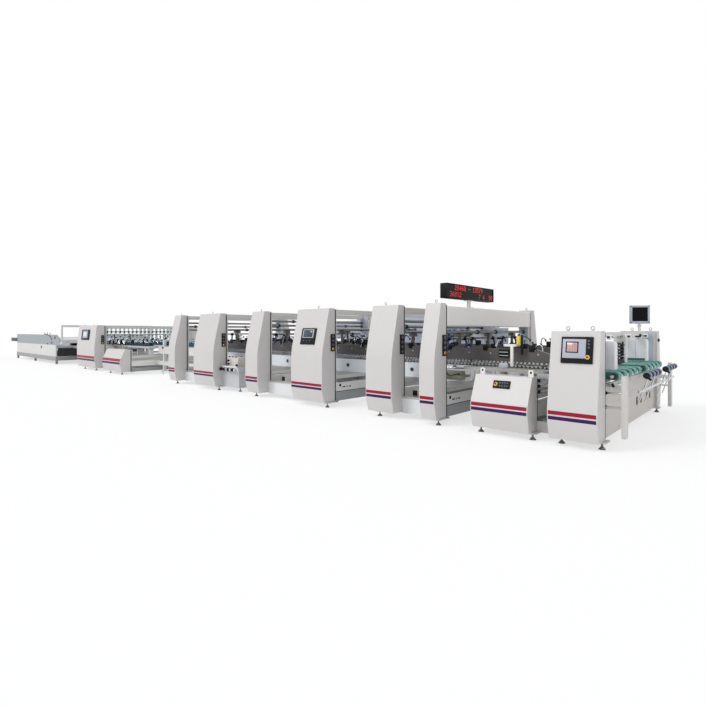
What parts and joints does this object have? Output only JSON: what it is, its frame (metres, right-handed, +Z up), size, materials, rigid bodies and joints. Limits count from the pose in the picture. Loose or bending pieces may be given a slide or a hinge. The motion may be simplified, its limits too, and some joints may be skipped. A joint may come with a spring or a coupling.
{
  "type": "box folder gluer",
  "caption": "Wide box folder gluer line: feeder, aligner, prefolder, lock bottom folder, final folder, transfer belts, press unit and delivery conveyor in one fixed row of modules.",
  "frame": {"origin": "centre of the line's bounding box, on the floor", "axes": "+X along the line towards the feeder, against the way the blanks run; -Y towards the operator's side with the touch panels; +Z up"},
  "size_m": [31.353, 4.24, 2.3],
  "materials": {
    "housing_paint": "satin",
    "frame_paint": "satin",
    "grey_paint": "satin",
    "dark_steel": "satin",
    "belt_rubber": "matt",
    "roller_plastic": "satin",
    "panel_plastic": "satin"
  },
  "bodies": {
    "root": {"adjuster_shelf": "grey_paint", "aligner_frame": "frame_paint", "aligner_housing_far": "housing_paint", "aligner_housing_near": "housing_paint", "delivery_frame": "frame_paint", "delivery_roller": "dark_steel", "delivery_upper": "grey_paint", "display_board": "panel_plastic", "feed_belts": "belt_rubber", "feed_gate": "dark_steel", "feeder_frame": "frame_paint", "feeder_housing_far": "housing_paint", "feeder_housing_near": "housing_paint", "feeder_touch_panel": "panel_plastic", "final_frame": "frame_paint", "final_hooks": "dark_steel", "final_narrow_housing_far": "housing_paint", "final_narrow_housing_near": "housing_paint", "final_wide_housing_far": "housing_paint", "final_wide_housing_near": "housing_paint", "gantry_beam": "frame_paint", "lock_frame": "frame_paint", "lock_hooks": "dark_steel", "lock_narrow_housing_far": "housing_paint", "lock_narrow_housing_near": "housing_paint", "lock_touch_panel": "panel_plastic", "lock_wide_housing_far": "housing_paint", "lock_wide_housing_near": "housing_paint", "lower_carrier_1": "frame_paint", "lower_carrier_2": "frame_paint", "lower_carrier_3": "frame_paint", "monitor": "grey_paint", "prefold_frame": "frame_paint", "prefold_hooks": "dark_steel", "prefold_narrow_housing_far": "housing_paint", "prefold_narrow_housing_near": "housing_paint", "prefold_wide_housing_far": "housing_paint", "prefold_wide_housing_near": "housing_paint", "press_belts": "dark_steel", "press_console_far": "housing_paint", "press_console_near": "housing_paint", "press_frame": "frame_paint", "press_hooks": "dark_steel", "press_low_housing_far": "housing_paint", "press_low_housing_near": "housing_paint", "press_touch_panel": "panel_plastic", "roller_rack": "roller_plastic", "side_guide_far": "frame_paint", "side_guide_near": "frame_paint", "transfer_belts": "belt_rubber", "transfer_frame": "frame_paint", "transfer_press": "dark_steel", "upper_carrier_1": "dark_steel", "upper_carrier_2": "dark_steel", "upper_carrier_3": "dark_steel"}
  },
  "joints": []
}
